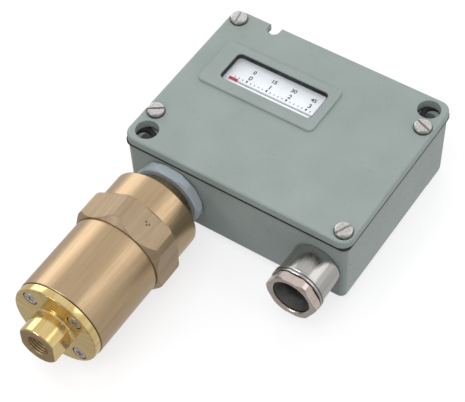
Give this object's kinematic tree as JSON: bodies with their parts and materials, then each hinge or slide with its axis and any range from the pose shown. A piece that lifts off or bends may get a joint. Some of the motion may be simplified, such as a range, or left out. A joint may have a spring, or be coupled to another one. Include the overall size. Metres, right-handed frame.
{
  "type": "pressure switch",
  "caption": "Adjustable pressure switch: a cast rectangular case with a windowed set-point scale, a brass bellows sensor with a female port and a cable gland on one side.",
  "frame": {"origin": "middle of the base land that the case is mounted on", "axes": "+Y along the sensor's axis to the back of the case (the port opens towards -Y), +X along the case's long side, +Z out of the cover"},
  "size_m": [0.105, 0.1719, 0.0459],
  "materials": {
    "grey_green_paint": "satin",
    "black_rubber": "matt",
    "window_glass": "clear",
    "white_enamel": "satin",
    "red_plastic": "matt",
    "zinc_plated_steel": "zinc plated",
    "bright_sheet_steel": "bright sheet",
    "spring_steel": "oiled",
    "turned_brass": "turned and passivated",
    "polished_brass": "polished",
    "nickel_plated_brass": "nickel plated",
    "grey_lacquer": "satin",
    "black_moulding": "moulded",
    "ivory_moulding": "moulded",
    "blue_insulation": "extruded"
  },
  "bodies": {
    "case": {"bellows": "turned_brass", "case_body": "grey_green_paint", "chassis": "bright_sheet_steel", "chassis_screw_1": "zinc_plated_steel", "chassis_screw_2": "zinc_plated_steel", "chassis_screw_3": "zinc_plated_steel", "cover_gasket": "black_rubber", "crank_pivot_screw": "zinc_plated_steel", "earth_screw": "zinc_plated_steel", "flange_screw_1": "zinc_plated_steel", "flange_screw_2": "zinc_plated_steel", "flange_screw_3": "zinc_plated_steel", "flange_screw_4": "zinc_plated_steel", "flange_seal": "black_rubber", "gland_body": "nickel_plated_brass", "gland_nut": "nickel_plated_brass", "gland_seal": "black_rubber", "guide_bush": "polished_brass", "inner_lock_nut": "zinc_plated_steel", "lead_1": "blue_insulation", "lead_2": "blue_insulation", "lead_3": "blue_insulation", "lever_pin": "zinc_plated_steel", "locking_screw": "zinc_plated_steel", "microswitch_body": "black_moulding", "outer_lock_nut": "grey_lacquer", "port_flange": "polished_brass", "range_spring": "spring_steel", "scale_plate": "white_enamel", "scale_screw_1": "zinc_plated_steel", "scale_screw_2": "zinc_plated_steel", "sensor_body": "turned_brass", "spindle_bush": "polished_brass", "switch_screw_1": "zinc_plated_steel", "switch_screw_2": "zinc_plated_steel", "switch_tab_1": "polished_brass", "switch_tab_2": "polished_brass", "switch_tab_3": "polished_brass", "terminal_block": "ivory_moulding", "terminal_screw_1": "zinc_plated_steel", "terminal_screw_2": "zinc_plated_steel", "terminal_screw_3": "zinc_plated_steel"},
    "cover": {"cover": "grey_green_paint", "window_pane": "window_glass", "window_seal": "black_rubber", "cover_screw_1": "zinc_plated_steel", "cover_screw_2": "zinc_plated_steel", "cover_screw_3": "zinc_plated_steel", "cover_screw_4": "zinc_plated_steel"},
    "spindle": {"setpoint_spindle": "zinc_plated_steel", "spindle_ring": "spring_steel"},
    "nut": {"spring_nut": "polished_brass"},
    "crank": {"pointer_crank": "bright_sheet_steel"},
    "pointer": {"pointer": "red_plastic"},
    "plunger": {"push_rod": "zinc_plated_steel"},
    "lever": {"rocker_lever": "bright_sheet_steel"},
    "button": {"microswitch_button": "red_plastic"}
  },
  "joints": [
    {"name": "cover_lift", "type": "slide", "parent": "case", "child": "cover", "axis": [0, 0, 1], "range_m": [0, 0.045]},
    {"name": "setpoint_turn", "type": "hinge", "parent": "case", "child": "spindle", "pos_m": [-0.0301, 0.0355, 0.016], "axis": [0, 1, 0], "range_deg": [0, 2880]},
    {"name": "nut_slide", "type": "slide", "parent": "case", "child": "nut", "axis": [0, -1, 0], "range_m": [0, 0.008], "deforming": ["range_spring"]},
    {"name": "crank_turn", "type": "hinge", "parent": "case", "child": "crank", "pos_m": [-0.0172, 0.03, 0.025], "axis": [0, 0, 1], "range_deg": [0, 77.32]},
    {"name": "pointer_slide", "type": "slide", "parent": "case", "child": "pointer", "axis": [1, 0, 0], "range_m": [0, 0.032]},
    {"name": "plunger_travel", "type": "slide", "parent": "case", "child": "plunger", "axis": [0, 1, 0], "range_m": [0, 0.00036], "stiffness_N_per_m": 5000},
    {"name": "lever_tilt", "type": "hinge", "parent": "case", "child": "lever", "pos_m": [-0.0395, -0.0225, 0.016], "axis": [0, 0, 1], "range_deg": [0, 2.2]},
    {"name": "button_press", "type": "slide", "parent": "case", "child": "button", "axis": [0, 1, 0], "range_m": [0, 0.0011]}
  ],
  "couplings": [
    {"joint": "setpoint_turn", "follows": "nut_slide", "rad_per_m": 6283.1},
    {"joint": "crank_turn", "follows": "nut_slide", "rad_per_m": 168.68},
    {"joint": "pointer_slide", "follows": "nut_slide", "ratio": 4},
    {"joint": "lever_tilt", "follows": "plunger_travel", "rad_per_m": 106.38},
    {"joint": "button_press", "follows": "plunger_travel", "ratio": 3.05}
  ]
}
